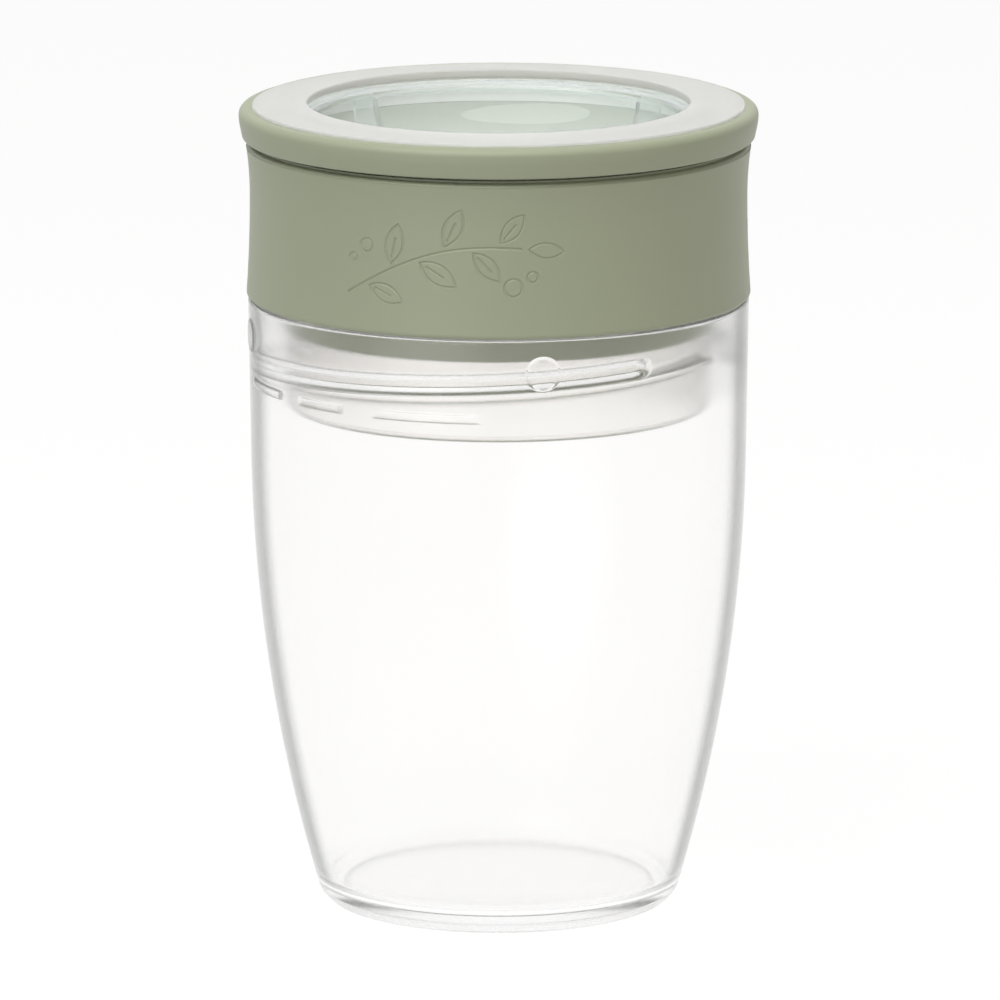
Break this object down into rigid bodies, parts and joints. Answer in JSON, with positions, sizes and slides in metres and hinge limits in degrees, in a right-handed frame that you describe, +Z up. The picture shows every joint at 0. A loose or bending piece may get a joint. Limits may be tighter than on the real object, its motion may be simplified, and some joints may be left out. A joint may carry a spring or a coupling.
{
  "type": "training cup",
  "caption": "Clear toddler cup with a screw-on coloured collar, an all-round drinking rim with a soft valve ring, and a clear dish in the middle.",
  "frame": {"origin": "middle of the foot, on the plane it stands on", "axes": "+Z up along the cup's axis, -Y towards the front, where the fill bars and the front end of a thread rib are"},
  "size_m": [0.08, 0.08, 0.1253],
  "materials": {
    "clear_plastic": "clear, glossy, a trace of haze",
    "frosted_plastic": "translucent white, semi-gloss",
    "green_plastic": "sage green, satin",
    "silicone": "pale translucent silicone, matte",
    "frosted_silicone": "frosted translucent silicone, matte"
  },
  "bodies": {
    "cup_body": {"cup": "clear_plastic"},
    "seal": {"cup_seal": "silicone"},
    "lid": {"collar": "green_plastic", "threaded_sleeve": "frosted_plastic"},
    "rim": {"rim_ring": "green_plastic", "rim_seal": "silicone"},
    "dish": {"clear_dish": "clear_plastic"},
    "valve": {"drinking_valve": "frosted_silicone"}
  },
  "joints": [
    {"name": "lid_lift", "type": "slide", "parent": "cup_body", "child": "seal", "axis": [0, 0, 1], "range_m": [0, 0.0211]},
    {"name": "lid_turn", "type": "hinge", "parent": "seal", "child": "lid", "pos_m": [0, 0, 0.095], "axis": [0, 0, 1], "range_deg": [0, 720]},
    {"name": "rim_pull", "type": "slide", "parent": "lid", "child": "rim", "axis": [0, 0, 1], "range_m": [0, 0.012]},
    {"name": "dish_pull", "type": "slide", "parent": "rim", "child": "dish", "axis": [0, 0, 1], "range_m": [0, 0.015]},
    {"name": "valve_flex", "type": "slide", "parent": "dish", "child": "valve", "axis": [0, 0, 1], "range_m": [-0.0004, 0], "stiffness_N_per_m": 1500}
  ],
  "couplings": [
    {"joint": "lid_lift", "follows": "lid_turn", "m_per_rad": 0.0016711}
  ]
}
